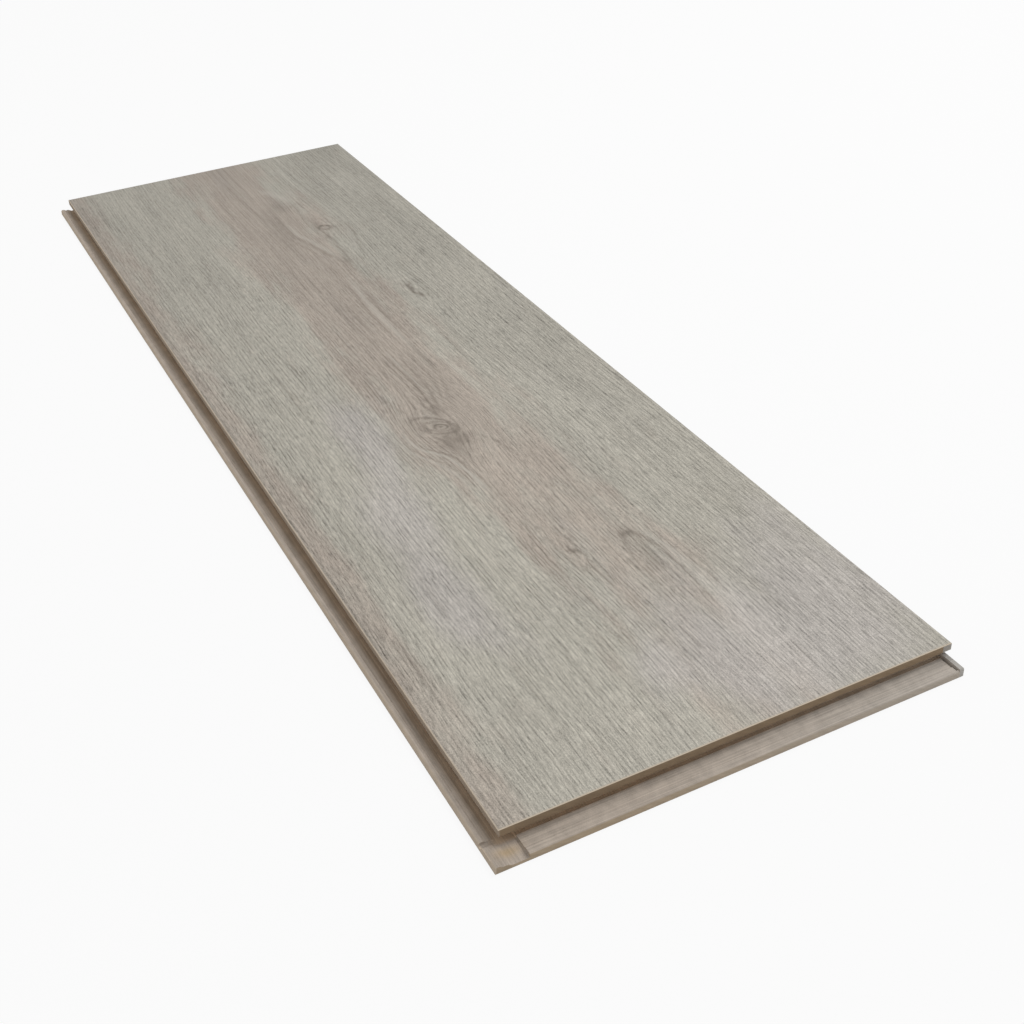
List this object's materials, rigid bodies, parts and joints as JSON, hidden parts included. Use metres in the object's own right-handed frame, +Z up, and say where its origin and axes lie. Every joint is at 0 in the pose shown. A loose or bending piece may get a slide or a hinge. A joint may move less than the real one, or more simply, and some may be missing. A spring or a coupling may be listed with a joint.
{
  "type": "laminate floor plank",
  "caption": "Flat floor plank with a wood-grain decor face, a groove over a locking lower lip on one long and one short side, and tongues over locking recesses on the other two.",
  "frame": {"origin": "under the middle of the plank's overall box, on the surface that it lies on", "axes": "+Y along the plank, from the lipped short side to the tongued one; +X across it, from the lipped long side to the tongued one; +Z up, out of the decor face"},
  "size_m": [0.2038, 0.6524, 0.008],
  "materials": {
    "plank": "printed grey-brown oak decor under a matt clear wear layer, on brown pressed wood-fibre board"
  },
  "bodies": {
    "root": {"floor_plank": "plank"}
  },
  "joints": []
}
